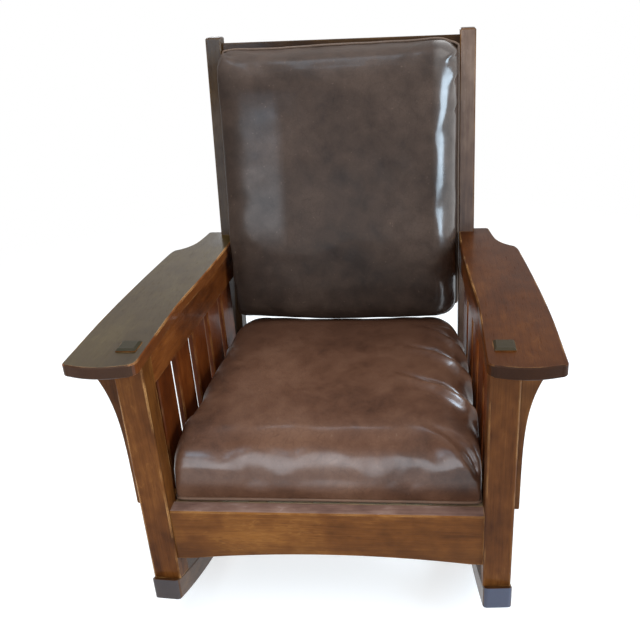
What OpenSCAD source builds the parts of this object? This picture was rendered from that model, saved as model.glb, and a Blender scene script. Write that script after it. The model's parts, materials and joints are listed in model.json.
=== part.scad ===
// Slat-sided rocking chair with two loose leather cushions
// The chair faces -Y. Left and right are as seen from the front.

/* [Overall] */
// Height of the rear post tops
chair_h = 1032; // [960:1:1090]
// Depth from the arm noses to the runner tails
chair_d = 758; // [700:1:820]
// Bevel on the edges of posts, rails and slats
edge_bevel = 2; // [1:0.5:3]
// Play around each tenon and housed end
joint_fit = 0.1; // [0.05:0.05:0.3]
// Depth of the tenons in the posts
tenon_len = 16; // [10:1:20]
// Thickness of the rail tenons
tenon_t = 12; // [8:1:14]
// Shoulder above and below each rail tenon
tenon_shoulder = 12; // [8:1:20]
// Wood left between two tenons that meet in a rear post
tenon_apart = 1.5; // [0.5:0.5:3]

/* [Front posts] */
// Clear width between the front posts
seat_gap = 570; // [530:1:600]
// Width of a front post
post_w = 50.5; // [46:0.5:56]
// Depth of a front post
post_d = 48; // [44:1:54]
// Width of the tenon that comes through the arm
through_w = 34; // [28:1:38]
// Depth of the tenon that comes through the arm
through_d = 35; // [28:1:38]
// How far the through tenon stands off the post's centre, inward
through_in = 2; // [0:0.5:4]
// How far the through tenon stands off the post's centre, forward
through_fwd = 4; // [0:0.5:5]
// Height of the through tenon above the arm
through_rise = 5; // [2:0.5:9]
// Bevelled part of that height
through_bevel = 3.5; // [1:0.5:4]

/* [Rear posts] */
// Clear width between the rear posts
rear_gap = 516; // [480:1:530]
// Width of a rear post
rear_w = 34; // [28:1:40]
// Depth of a rear post at its foot and bend
rear_d = 45; // [40:1:50]
// Depth of a rear post at its top
rear_top_d = 33; // [28:1:40]
// Front post face to rear post face, at the foot
rear_y = 541; // [500:1:560]
// Height of the bend
bend_h = 274; // [250:1:300]
// Lean of the back
back_lean = 8.5; // [6:0.5:11]
// Bevel at the top of a rear post
top_bevel = 3; // [1:0.5:5]

/* [Runners] */
// Radius of the rocking edge
runner_r = 1015; // [950:5:1100]
// Depth of a runner
runner_t = 43; // [36:1:50]
// Width of a runner
runner_w = 53; // [48:1:58]
// How far a runner's nose stands before the front post
runner_lead = 11; // [4:1:20]
// Rounding of a runner's ends
runner_round = 9; // [4:1:14]
// Front post face to the point the chair rests on
balance_y = 379.6; // [340:0.1:400]

/* [Seat frame] */
// Height of the seat rails' top
rail_h = 274; // [258:1:290]
// Depth of the front seat rail at its ends
rail_d = 111; // [95:1:120]
// Rise of the arch under the front rail
rail_arch = 17; // [8:1:25]
// Straight part of the front rail's underside beside each post
arch_in = 8; // [4:1:30]
// Thickness of the front seat rail
rail_t = 31; // [24:1:34]
// How far the front rail lies behind the post face
rail_set = 6; // [3:1:10]
// Depth of the side and rear seat rails
side_rail_d = 96; // [80:1:105]
// Thickness of the side rails, upper and lower
side_rail_t = 22; // [20:1:24]
// Inner post face to the side rail's centre, at the front
side_rail_in = 15; // [13:1:20]
// Thickness of the rear seat rail
rear_rail_t = 24; // [20:1:28]

/* [Side slats] */
// Depth of the rail under the arm
upper_rail_d = 68; // [50:1:80]
// Width of a side slat
slat_w = 70; // [60:1:78]
// Thickness of a side slat
slat_t = 12; // [9:1:14]
// Depth of the slats' housings in the rails
slat_house = 8; // [5:1:10]

/* [Arms] */
// Height of the arm tops
arm_h = 605; // [585:1:625]
// Thickness of an arm
arm_t = 22; // [19:1:26]
// How far the arm's nose stands before the front post
arm_nose = 53; // [40:1:65]
// How far the nose's edge curves back at its corners
nose_bow = 14; // [6:1:20]
// How far the arm reaches out past the front post
arm_out = 64.5; // [52:0.5:80]
// How far the arm reaches in past the front post
arm_inset = 8; // [4:1:14]
// Radius of the inner front corner
inner_round = 20; // [12:1:28]
// Radius of the outer front corner
outer_round = 11; // [6:1:18]
// How far the arm reaches behind the rear post's face
arm_tail = 24; // [18:1:28]
// How far back the arm's inner edge runs straight
arm_straight = 192; // [150:1:260]
// How far back the arm's outer edge runs straight
arm_full = 96; // [60:1:140]
// Narrowing of the arm before the ogee
arm_taper = 21; // [12:1:28]
// Length of the ogee at the arm's rear
ogee_len = 135; // [115:1:150]
// Width that the ogee takes off
ogee_drop = 52; // [40:1:58]
// Radius of the rear corner
tail_round = 8; // [4:1:12]

/* [Corbels] */
// Height of a corbel
corbel_h = 296; // [260:1:320]
// Thickness of a corbel
corbel_t = 22; // [18:1:28]
// How far a corbel stands out at its foot
corbel_foot = 9.5; // [7:0.5:14]
// How far a corbel stands out under the arm
corbel_top = 57; // [48:1:60]
// Steepness of the corbel's flare
corbel_curve = 4.7; // [3:0.1:6]

/* [Back] */
// How far the crest's top lies below the post tops
crest_drop = 10.5; // [8:0.5:24]
// Depth of the crest rail
crest_d = 76; // [60:1:90]
// Depth of the lower back rail
low_back_d = 56; // [45:1:65]
// Height of the lower back rail's underside, along the posts
low_back_z = 192; // [180:1:215]
// How far the back rails lie behind the posts' face
back_set = 12; // [9:1:14]
// Thickness of the back rails
back_rail_t = 19; // [16:1:20]
// Width of a back slat
back_slat_w = 56; // [45:1:66]
// Thickness of a back slat
back_slat_t = 9; // [7:1:11]

/* [Seat deck] */
// Thickness of the deck frame
deck_t = 21; // [18:1:25]
// Width of the deck frame's pieces
deck_w = 48; // [38:1:60]
// Gap between the deck frame and the seat rails
deck_gap = 1.5; // [1:0.5:3]
// Section of the cleats that carry the deck
cleat_s = 22; // [16:1:26]
// Width of a webbing strap
strap_w = 50; // [36:1:56]
// Thickness of a webbing strap
strap_t = 1.5; // [1:0.5:2.5]
// Leg of a corner block
block_s = 62; // [48:1:72]
// Height of a corner block
block_h = 50; // [36:1:60]

/* [Cushions] */
// Thickness of the seat cushion
seat_t = 147; // [120:1:160]
// How far the seat cushion's top falls towards its front
seat_fall = 26; // [0:1:40]
// Gap from the seat cushion's sides to the front posts and the slats
seat_side_gap = 1.5; // [1:0.5:12]
// Gap from the seat cushion's rear to the rear posts
seat_back_gap = 10; // [6:1:30]
// Thickness of the back cushion
back_t = 114; // [95:1:125]
// How much thinner the back cushion is at its head
back_fall = 22; // [0:1:35]
// Gap from the back cushion's sides to the rear posts
back_side_gap = 3; // [2:0.5:18]
// How far the back cushion's top lies below the crest's top
back_under = 7; // [2:0.1:40]
// Height of the back cushion's foot above the bend, along the posts
back_foot = 155; // [152:1:175]
// Gap between soft pieces and what they rest on
soft_gap = 0.3; // [0.3:0.1:1]
// Least thickness of a cushion's leather cover
cover_t = 3; // [2:0.5:5]
// Share of a cushion's height that its crown takes
crown_share = 0.3; // [0.1:0.02:0.45]
// Share of a cushion's width that its sides are drawn in by
draw_share = 0.012; // [0.005:0.001:0.04]

/* [Hidden] */
// One name a node
// Every node of the chair

wood_color = [0.27, 0.13, 0.07];
inner_color = [0.45, 0.31, 0.19];
strap_color = [0.55, 0.47, 0.34];
leather_color = [0.2, 0.11, 0.08];
core_color = [0.75, 0.7, 0.6];

slat_count = 5;
arc_fn = 240;
curve_steps = 14;
corner_steps = 6;
corner_turn = 90 / corner_steps;
taper_power = 1.5;
skin = edge_bevel / 100;
edge_power = 0.3;
top_power = 0.5;
foot_power = 0.12;
flat_power = 0.15;
corner_power = 0.22;
post_x = seat_gap / 2;
chair_w = seat_gap + 2 * (post_w + arm_out);
rear_x = rear_gap / 2;
post_cx = post_x + post_w / 2;
post_cy = post_d / 2;
rear_cx = rear_x + rear_w / 2;
rear_cy = rear_y + rear_d / 2;
runner_toe = atan((post_cx - rear_cx) / (rear_cy - post_cy));
arm_low = arm_h - arm_t;
lean_run = tan(back_lean);
lean_top = (chair_h - bend_h) * lean_run;
post_face_arm = rear_y + (arm_h - bend_h) * lean_run;
arm_end = post_face_arm + arm_tail;
rail_low = rail_h - rail_d;
side_low = rail_h - side_rail_d;
rail_back = rail_set + rail_t;
upper_low = arm_low - upper_rail_d;
rail_front_x = post_x + side_rail_in;
slat_span = rear_y + ((rail_h + upper_low) / 2 - bend_h) * lean_run - post_d;
slat_gap = (slat_span - slat_count * slat_w) / (slat_count + 1);
crest_top = (chair_h - crest_drop - bend_h) / cos(back_lean);
crest_low = crest_top - crest_d;
low_back_top = low_back_z + low_back_d;
back_slat_gap = (rear_gap - slat_count * back_slat_w) / (slat_count + 1);
deck_top = rail_h - strap_t - strap_t;
deck_low = deck_top - deck_t;
cleat_low = deck_low - cleat_s;
deck_y = rail_back + deck_gap;
deck_end = rear_y - deck_gap;
seat_y = rail_back;
seat_end = rear_y - seat_back_gap;
back_back = back_set - soft_gap;

// Shares of the ogee's length and width, from front to rear
ogee_len_shares = [0, 0.13, 0.2, 0.31, 0.5, 0.78, 1];
ogee_drop_shares = [0, 0.09, 0.31, 0.57, 0.8, 0.93, 1];
ogee_parts = len(ogee_len_shares) - 1;
ogee_steps = 4;

seat_w = seat_gap - 2 * seat_side_gap;
back_w = rear_gap - 2 * back_side_gap;
back_len = crest_top - back_under - back_foot;

function mix(a, b, t) = a + (b - a) * t;
function rail_x(y) = mix(rail_front_x, rear_cx, (y - post_d) / (rear_y - post_d));
function strip(y0, y1, t) = [
  [rail_x(y0) - t / 2, y0], [rail_x(y0) + t / 2, y0], [rail_x(y1) + t / 2, y1], [rail_x(y1) - t / 2, y1]
];
function spow(v, e) = sign(v) * pow(abs(v), e);
function reversed(list) = [for (i = [len(list) - 1:-1:0]) list[i]];

module placed() {
  translate([0, arm_nose - chair_d / 2, 0]) children();
}

module left() {
  placed() mirror([1, 0, 0]) children();
}

module leaned() {
  translate([0, rear_y, bend_h]) rotate([-back_lean, 0, 0]) children();
}

// Box from corner to corner with bevelled edges, square at the ends of axis keep
module eased_box(lo, hi, keep = -1) {
  hull() for (k = [0:2]) if (k != keep) {
    s = [for (a = [0:2]) (a == k || a == keep) ? 0 : edge_bevel];
    translate(lo + s) cube(hi - lo - 2 * s);
  }
}

// Upright board on the side frame's line, grown by g
module board(y0, y1, t, z0, z1, g = 0) {
  translate([0, 0, z0 - g]) linear_extrude(z1 - z0 + 2 * g) polygon(strip(y0 - g, y1 + g, t + 2 * g));
}

module eased_rail(y0, y1, t, z0, z1) {
  hull() {
    board(y0, y1, t, z0 + edge_bevel, z1 - edge_bevel);
    board(y0, y1, t - 2 * edge_bevel, z0, z1);
  }
}

module eased_slat(y0, y1, t, z0, z1) {
  hull() {
    board(y0 + edge_bevel, y1 - edge_bevel, t, z0, z1);
    board(y0, y1, t - 2 * edge_bevel, z0, z1);
  }
}

module on_runner() {
  translate([post_cx, post_cy, 0]) rotate([0, 0, runner_toe]) translate([0, balance_y - post_cy, runner_r])
    rotate([0, 90, 0]) children();
}

module above_runner() {
  intersection() {
    children();
    on_runner() cylinder(r = runner_r - runner_t, h = seat_gap, center = true, $fn = arc_fn);
  }
}

// Outline of a runner from above, its tail reaching the chair's full depth once toed in
module runner_plan() {
  wide = runner_w - 2 * runner_round;
  reach = chair_d - arm_nose - post_cy - runner_round - wide / 2 * sin(runner_toe);
  long = runner_lead + post_cy + runner_round + reach / cos(runner_toe);
  translate([-wide / 2, 0]) square([wide, long]);
  translate([-runner_w / 2, runner_round]) square([runner_w, long - 2 * runner_round]);
  for (x = [-wide / 2, wide / 2], y = [runner_round, long - runner_round])
    translate([x, y]) circle(r = runner_round, $fn = arc_fn / 5);
}

module runner() {
  intersection() {
    on_runner() rotate_extrude($fn = arc_fn) polygon([
      [runner_r - runner_t, edge_bevel - runner_w / 2], [runner_r - runner_t + edge_bevel, -runner_w / 2],
      [runner_r - edge_bevel, -runner_w / 2], [runner_r, edge_bevel - runner_w / 2],
      [runner_r, runner_w / 2 - edge_bevel], [runner_r - edge_bevel, runner_w / 2],
      [runner_r - runner_t + edge_bevel, runner_w / 2], [runner_r - runner_t, runner_w / 2 - edge_bevel]
    ]);
    translate([post_cx, post_cy, 0]) rotate([0, 0, runner_toe]) translate([0, -runner_lead - post_cy, 0])
      linear_extrude(runner_r / 4) runner_plan();
  }
}

// Tenons that the rails and the posts share, grown by g for the mortise
module front_rail_tenon(g = 0) {
  translate([post_x - edge_bevel, rail_set + (rail_t - tenon_t) / 2 - g, rail_low + tenon_shoulder - g])
    cube([tenon_len + edge_bevel + g, tenon_t + 2 * g, rail_d - 2 * tenon_shoulder + 2 * g]);
}

module rear_rail_tenon(g = 0) {
  translate([rear_x - edge_bevel, rear_y + (rear_rail_t - tenon_t) / 2 - g, side_low + tenon_shoulder - g])
    cube([(rear_w - tenon_t) / 2 - tenon_apart + edge_bevel + g, tenon_t + 2 * g,
      side_rail_d - 2 * tenon_shoulder + 2 * g]);
}

module side_tenons(g = 0) {
  long = tenon_len - edge_bevel;
  for (z = [[side_low, rail_h], [upper_low, arm_low]]) {
    z0 = z[0] + tenon_shoulder;
    z1 = z[1] - tenon_shoulder;
    board(post_d - long, post_d + edge_bevel, tenon_t, z0, z1, g);
    back_y = rear_y + max(0, (z[0] + z[1]) / 2 - bend_h) * lean_run;
    board(back_y - post_d / 4, back_y + long, tenon_t, z0, z1, g);
  }
}

module back_tenon(z0, z1, g = 0) {
  leaned() translate([rear_x - edge_bevel, back_set + (back_rail_t - tenon_t) / 2 - g, z0 + tenon_shoulder - g])
    cube([tenon_len + edge_bevel + g, tenon_t + 2 * g, z1 - z0 - 2 * tenon_shoulder + 2 * g]);
}

module through_tenon(g = 0) {
  x = post_cx - through_in - through_w / 2;
  y = post_cy - through_fwd - through_d / 2;
  rise = arm_h + through_rise;
  hull() {
    translate([x - g, y - g, arm_low - edge_bevel])
      cube([through_w + 2 * g, through_d + 2 * g, rise - through_bevel - arm_low + edge_bevel]);
    translate([x + through_bevel, y + through_bevel, arm_low])
      cube([through_w - 2 * through_bevel, through_d - 2 * through_bevel, rise - arm_low]);
  }
}

module front_post() {
  difference() {
    union() {
      above_runner() eased_box([post_x, 0, 0], [post_x + post_w, post_d, arm_low], 2);
      through_tenon();
    }
    front_rail_tenon(joint_fit);
    side_tenons(joint_fit);
  }
}

module post_slice(z, y, d, ease) {
  c = edge_bevel;
  w = rear_w - 2 * ease;
  translate([rear_x + ease, y + ease, z]) linear_extrude(skin) polygon([
    [c, 0], [w - c, 0], [w, c], [w, d - 2 * ease - c], [w - c, d - 2 * ease], [c, d - 2 * ease],
    [0, d - 2 * ease - c], [0, c]
  ]);
}

module rear_post() {
  difference() {
    union() {
      above_runner() hull() {
        post_slice(0, rear_y, rear_d, 0);
        post_slice(bend_h, rear_y, rear_d, 0);
      }
      hull() {
        post_slice(bend_h, rear_y, rear_d, 0);
        post_slice(chair_h - top_bevel - skin, rear_y + lean_top, rear_top_d, 0);
        post_slice(chair_h - skin, rear_y + lean_top, rear_top_d, top_bevel);
      }
    }
    rear_rail_tenon(joint_fit);
    side_tenons(joint_fit);
    back_tenon(low_back_z, low_back_top, joint_fit);
    back_tenon(crest_low, crest_top, joint_fit);
  }
}

module front_rail() {
  arch_r = (pow(post_x - arch_in, 2) + rail_arch * rail_arch) / (2 * rail_arch);
  difference() {
    eased_box([-post_x, rail_set, rail_low], [post_x, rail_back, rail_h], 0);
    translate([0, rail_back + rail_t, rail_low + rail_arch - arch_r]) rotate([90, 0, 0])
      cylinder(r = arch_r, h = 3 * rail_t, $fn = arc_fn);
  }
  front_rail_tenon();
  mirror([1, 0, 0]) front_rail_tenon();
}

module rear_rail() {
  eased_box([-rear_x, rear_y, side_low], [rear_x, rear_y + rear_rail_t, rail_h], 0);
  rear_rail_tenon();
  mirror([1, 0, 0]) rear_rail_tenon();
}

function slat_y(i) = post_d + slat_gap + (i - 1) * (slat_w + slat_gap);

module side_slat(i, g = 0) {
  y0 = slat_y(i);
  if (g > 0) board(y0, y0 + slat_w, slat_t, rail_h - slat_house, upper_low + slat_house, g);
  else eased_slat(y0, y0 + slat_w, slat_t, rail_h - slat_house, upper_low + slat_house);
}

module side_rail() {
  difference() {
    eased_rail(post_d, rear_y, side_rail_t, side_low, rail_h);
    for (i = [1:slat_count]) side_slat(i, joint_fit);
  }
  intersection() {
    side_tenons();
    board(0, rear_y + rear_d, side_rail_t, side_low, rail_h);
  }
}

module upper_rail() {
  difference() {
    eased_rail(post_d, arm_end, side_rail_t, upper_low, arm_low);
    for (i = [1:slat_count]) side_slat(i, joint_fit);
    leaned() cube([chair_w, chair_d, chair_h]);
  }
  intersection() {
    side_tenons();
    board(0, chair_d, side_rail_t, upper_low, arm_low);
  }
}

// Arm's edge, drawn in by e, its notch for the rear post following the post's lean at height z
function arm_in(y, e) = e + mix(post_x - arm_inset, rear_x,
  y < arm_straight ? 0 : sin(90 * min(1, (y - arm_straight) / (post_face_arm - arm_straight))));
function arm_mid() = (post_x - arm_inset + chair_w / 2) / 2;
function arm_nose_y(x) = nose_bow * pow((x - arm_mid()) / (chair_w / 2 - arm_mid()), 2) - arm_nose;
function arm_side(y) = chair_w / 2 - arm_taper * pow(max(0, y - arm_full) / (ogee_y() - arm_full), taper_power);
function ogee_y() = arm_end - ogee_len - tail_round;
function ogee_x() = chair_w / 2 - arm_taper;
function ogee_point(t, e) = [
  ogee_x() - e - ogee_drop * spline(ogee_drop_shares, t),
  ogee_y() - e * (1 - t / ogee_parts) + ogee_len * spline(ogee_len_shares, t)
];
function spline(p, t) = let (
    i = min(floor(t), len(p) - 2), f = t - i,
    a = p[max(i - 1, 0)], b = p[i], c = p[i + 1], d = p[min(i + 2, len(p) - 1)]
  ) b + f / 2 * (c - a + f * (2 * a - 5 * b + 4 * c - d + f * (3 * b - a - 3 * c + d)));

// Outer edge from the nose's corner to beside the notch
function arm_outer(e) = let (xo = chair_w / 2 - outer_round, yo = arm_nose_y(xo) + outer_round) concat(
  [for (k = [0:curve_steps - 1]) let (y = mix(yo, ogee_y(), k / curve_steps)) [arm_side(y) - e, y]],
  [for (k = [0:ogee_steps * (ogee_parts - 1)]) ogee_point(k / ogee_steps, e)]
);

// Inner edge abreast of the outer one, front to rear
function arm_inner(e) = let (xi = post_x - arm_inset + inner_round, yi = arm_nose_y(xi) + inner_round)
  [for (p = arm_outer(e)) [arm_in(p[1], e), max(yi, p[1])]];

// Nose between the two edges, inner side first
function arm_front(e) = let (
    xi = post_x - arm_inset + inner_round, yi = arm_nose_y(xi) + inner_round, ri = inner_round - e,
    xo = chair_w / 2 - outer_round, yo = arm_nose_y(xo) + outer_round, ro = outer_round - e
  ) concat(
    [for (k = [1:corner_steps - 1]) [xi - ri * cos(corner_turn * k), yi - ri * sin(corner_turn * k)]],
    [for (k = [0:curve_steps]) let (x = mix(xi, xo, k / curve_steps)) [x, arm_nose_y(x) + e]],
    [for (k = [1:corner_steps - 1]) [xo + ro * sin(corner_turn * k), yo - ro * cos(corner_turn * k)]]
  );

// Tail behind the two edges, outer side first, ending at the notch
function arm_back(e, z) = let (
    xt = ogee_x() - ogee_drop - tail_round, yt = arm_end - tail_round, rt = tail_round - e,
    notch = rear_y + (z - bend_h) * lean_run
  ) concat(
    [for (k = [1:ogee_steps]) ogee_point(ogee_parts - 1 + k / ogee_steps, e)],
    [for (k = [1:corner_steps - 1]) [xt + rt * cos(corner_turn * k), yt + rt * sin(corner_turn * k)]],
    [[xt, arm_end - e], [rear_x + rear_w, arm_end - e], [rear_x + rear_w, notch], [rear_x + e, notch]]
  );

// Board between rings of points, bottom to top: a front, a strip between two edges and a back
module arm_board(levels) {
  front = len(arm_front(0));
  edge = len(arm_outer(0));
  back = len(arm_back(0, arm_h));
  n = front + 2 * edge + back;
  outer = front;
  tail = front + edge;
  inner = n - 1;
  hub = tail + back - 2;
  cap = concat(
    [[for (i = [0:outer]) i, inner]],
    [for (k = [0:edge - 2]) each [
      [inner - k, outer + k, outer + k + 1], [inner - k, outer + k + 1, inner - k - 1]
    ]],
    [for (i = [tail - 1:hub - 2]) [hub, i, i + 1]],
    [[hub, hub + 1, hub + 2], [hub, hub + 2, tail - 1]]
  );
  m = len(levels);
  polyhedron(
    [for (l = levels) let (e = l[1]) each [
      for (p = concat(arm_front(e), arm_outer(e), arm_back(e, l[0]), reversed(arm_inner(e)))) [p[0], p[1], l[0]]
    ]],
    concat(
      cap,
      [for (j = [0:m - 2], i = [0:n - 1]) [j * n + i, (j + 1) * n + i, (j + 1) * n + (i + 1) % n]],
      [for (j = [0:m - 2], i = [0:n - 1]) [j * n + i, (j + 1) * n + (i + 1) % n, j * n + (i + 1) % n]],
      [for (f = cap) [for (i = reversed(f)) (m - 1) * n + i]]
    )
  );
}

module arm() {
  difference() {
    arm_board([[arm_low, edge_bevel], [arm_low + edge_bevel, 0], [arm_h - edge_bevel, 0], [arm_h, edge_bevel]]);
    through_tenon(joint_fit);
  }
}

module corbel() {
  low = arm_low - corbel_h;
  translate([post_x + post_w, post_cy + corbel_t / 2, 0]) rotate([90, 0, 0]) linear_extrude(corbel_t)
    polygon(concat(
      [[0, arm_low], [0, low], [corbel_foot - edge_bevel, low], [corbel_foot, low + edge_bevel]],
      [for (k = [1:2 * curve_steps]) let (u = k / curve_steps / 2)
        [mix(corbel_foot, corbel_top, pow(u, corbel_curve)), mix(low, arm_low, u)]]
    ));
}

module back_rail(z0, z1) {
  leaned() eased_box([-rear_x, back_set, z0], [rear_x, back_set + back_rail_t, z1], 0);
  back_tenon(z0, z1);
  mirror([1, 0, 0]) back_tenon(z0, z1);
}

module back_slat_solid(i, g = 0) {
  x = back_slat_gap + (i - 1) * (back_slat_w + back_slat_gap) - rear_x;
  y = back_set + (back_rail_t - back_slat_t) / 2;
  lo = [x - g, y - g, low_back_top - slat_house - g];
  hi = [x + back_slat_w + g, y + back_slat_t + g, crest_low + slat_house + g];
  leaned() if (g > 0) translate(lo) cube(hi - lo); else eased_box(lo, hi, 2);
}

module housed_back_rail(z0, z1) {
  difference() {
    back_rail(z0, z1);
    for (i = [1:slat_count]) back_slat_solid(i, joint_fit);
  }
}

module cleat_side() {
  inset = (side_rail_t + cleat_s) / 2;
  translate([-inset, 0, 0]) board(post_d, rear_y, cleat_s, cleat_low, deck_low);
}

module cleat_cross(y0) {
  half = rail_x(y0 + cleat_s) - side_rail_t / 2 - cleat_s - deck_gap;
  translate([-half, y0, cleat_low]) cube([2 * half, cleat_s, cleat_s]);
}

module block_front() {
  in = side_rail_t / 2;
  y = rail_back + block_s;
  translate([0, 0, cleat_low - block_h]) linear_extrude(block_h) polygon([
    [post_x - block_s, rail_back], [post_x, rail_back], [post_x, post_d], [rail_x(post_d) - in, post_d],
    [rail_x(y) - in, y], [rail_x(y) - in - edge_bevel, y], [post_x - block_s, rail_back + edge_bevel]
  ]);
}

module block_rear() {
  in = side_rail_t / 2;
  y = rear_y - block_s;
  translate([0, 0, cleat_low - block_h]) linear_extrude(block_h) polygon([
    [rear_x - block_s, rear_y], [rail_x(rear_y) - in, rear_y], [rail_x(y) - in, y],
    [rail_x(y) - in - edge_bevel, y], [rear_x - block_s, rear_y - edge_bevel]
  ]);
}

function deck_x(y) = rail_x(max(y, post_d)) - side_rail_t / 2 - deck_gap;

module deck_cross(y0) {
  y1 = y0 + deck_w;
  clear = post_x - deck_gap;
  translate([0, 0, deck_low]) linear_extrude(deck_t) polygon([
    [-min(clear, deck_x(y0)), y0], [min(clear, deck_x(y0)), y0],
    [min(clear, deck_x(y1)), y1], [-min(clear, deck_x(y1)), y1]
  ]);
}

module deck_side() {
  y0 = deck_y + deck_w;
  y1 = deck_end - deck_w;
  clear = post_x - deck_gap;
  translate([0, 0, deck_low]) linear_extrude(deck_t) polygon([
    [min(clear, deck_x(y0)), y0], [deck_x(y1), y1], [deck_x(y1) - deck_w, y1],
    [min(clear, deck_x(y0)) - deck_w, y0]
  ]);
}

function strap_pos(i, n, width, span) = (i - (n + 1) / 2) * (span - width) / n;

module straps_long() {
  span = 2 * deck_x(deck_end) - deck_w;
  for (i = [1:slat_count])
    translate([strap_pos(i, slat_count, strap_w, span) - strap_w / 2, deck_y + deck_gap, deck_top])
      cube([strap_w, deck_end - deck_y - 2 * deck_gap, strap_t]);
}

module straps_cross() {
  mid = (deck_y + deck_end) / 2;
  for (i = [1:slat_count]) {
    y = mid + strap_pos(i, slat_count, strap_w, deck_end - deck_y) - strap_w / 2;
    half = deck_x(y + strap_w) - 3 * deck_gap;
    translate([-half, y, deck_top + strap_t]) cube([2 * half, strap_w, strap_t]);
  }
}

// Crowned pillow on a flat underside: square in plan, its sides drawn in between the corners, its top falling
// by the two lengths in falls at its foot and its head
module pillow(lo, hi, rear_share, falls, n, m) {
  mid = (lo + hi) / 2;
  half = (hi - lo) / 2;
  pts = concat(
    [[mid[0], mid[1], lo[2]]],
    [for (j = [1:m - 1], i = [0:n - 1]) let (
        th = 360 * (i + 0.5) / n, ph = 180 * j / m - 90,
        r = spow(cos(ph), ph < 0 ? foot_power : edge_power), up = spow(sin(ph), ph < 0 ? flat_power : top_power),
        u = r * spow(cos(th), corner_power), v = r * spow(sin(th), corner_power),
        wide = mix(1, rear_share, (v + 1) / 2) * (1 - draw_share * (1 - v * v)),
        lift = up > 0 ? 1 - crown_share + crown_share * (1 - u * u) * (1 - v * v) : 1
      ) [
        mid[0] + half[0] * u * wide, mid[1] + half[1] * v * (1 - draw_share * (1 - u * u)),
        mid[2] + half[2] * up * lift - max(up, 0) * mix(falls[0], falls[1], (v + 1) / 2)
      ]],
    [[mid[0], mid[1], hi[2]]]
  );
  last = len(pts) - 1;
  polyhedron(pts, concat(
    [for (i = [0:n - 1]) [0, 1 + i, 1 + (i + 1) % n]],
    [for (j = [0:m - 3], i = [0:n - 1]) [1 + j * n + i, 1 + (j + 1) * n + i, 1 + (j + 1) * n + (i + 1) % n]],
    [for (j = [0:m - 3], i = [0:n - 1]) [1 + j * n + i, 1 + (j + 1) * n + (i + 1) % n, 1 + j * n + (i + 1) % n]],
    [for (i = [0:n - 1]) [last, last - n + (i + 1) % n, last - n + i]]
  ));
}

module cover(lo, hi, rear_share, falls) {
  difference() {
    pillow(lo, hi, rear_share, falls, 40, 20);
    stuffing(lo, hi, rear_share, falls, cover_t);
  }
}

module stuffing(lo, hi, rear_share, falls, inset) {
  pillow([for (v = lo) v + inset], [for (v = hi) v - inset], rear_share, falls, 32, 14);
}

module seat_place(part) {
  seat_rear_w = 2 * (rail_x(seat_end) - slat_t / 2 - seat_side_gap);
  low = rail_h + soft_gap;
  lo = [-seat_w / 2, seat_y, low];
  hi = [seat_w / 2, seat_end, low + seat_t];
  if (part == "cover") cover(lo, hi, seat_rear_w / seat_w, [seat_fall, 0]);
  else stuffing(lo, hi, seat_rear_w / seat_w, [seat_fall, 0], cover_t + soft_gap);
}

// Drawn lying on its back with the foot forward, then stood up along the posts
module back_place(part) {
  lo = [-back_w / 2, 0, 0];
  hi = [back_w / 2, back_len, back_t];
  leaned() translate([0, back_back, back_foot]) rotate([90, 0, 0]) {
    if (part == "cover") cover(lo, hi, 1, [0, back_fall]);
    else stuffing(lo, hi, 1, [0, back_fall], cover_t + soft_gap);
  }
}

module runner_left() color(wood_color) left() runner();
module runner_right() color(wood_color) placed() runner();
module front_post_left() color(wood_color) left() front_post();
module front_post_right() color(wood_color) placed() front_post();
module rear_post_left() color(wood_color) left() rear_post();
module rear_post_right() color(wood_color) placed() rear_post();
module front_seat_rail() color(wood_color) placed() front_rail();
module rear_seat_rail() color(wood_color) placed() rear_rail();
module side_seat_rail_left() color(wood_color) left() side_rail();
module side_seat_rail_right() color(wood_color) placed() side_rail();
module upper_side_rail_left() color(wood_color) left() upper_rail();
module upper_side_rail_right() color(wood_color) placed() upper_rail();
module side_slat_left(i) color(wood_color) left() side_slat(i);
module side_slat_right(i) color(wood_color) placed() side_slat(i);
module arm_left() color(wood_color) left() arm();
module arm_right() color(wood_color) placed() arm();
module corbel_left() color(wood_color) left() corbel();
module corbel_right() color(wood_color) placed() corbel();
module crest_rail() color(wood_color) placed() housed_back_rail(crest_low, crest_top);
module back_lower_rail() color(wood_color) placed() housed_back_rail(low_back_z, low_back_top);
module back_slat(i) color(wood_color) placed() back_slat_solid(i);
module cleat_front() color(inner_color) placed() cleat_cross(rail_back);
module cleat_rear() color(inner_color) placed() cleat_cross(rear_y - cleat_s);
module cleat_left() color(inner_color) left() cleat_side();
module cleat_right() color(inner_color) placed() cleat_side();
module corner_block_front_left() color(inner_color) left() block_front();
module corner_block_front_right() color(inner_color) placed() block_front();
module corner_block_rear_left() color(inner_color) left() block_rear();
module corner_block_rear_right() color(inner_color) placed() block_rear();
module deck_front() color(inner_color) placed() deck_cross(deck_y);
module deck_rear() color(inner_color) placed() deck_cross(deck_end - deck_w);
module deck_left() color(inner_color) left() deck_side();
module deck_right() color(inner_color) placed() deck_side();
module webbing_lengthwise() color(strap_color) placed() straps_long();
module webbing_crosswise() color(strap_color) placed() straps_cross();
module seat_cushion() color(leather_color) placed() seat_place("cover");
module seat_cushion_core() color(core_color) placed() seat_place("core");
module back_cushion() color(leather_color) placed() back_place("cover");
module back_cushion_core() color(core_color) placed() back_place("core");

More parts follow.
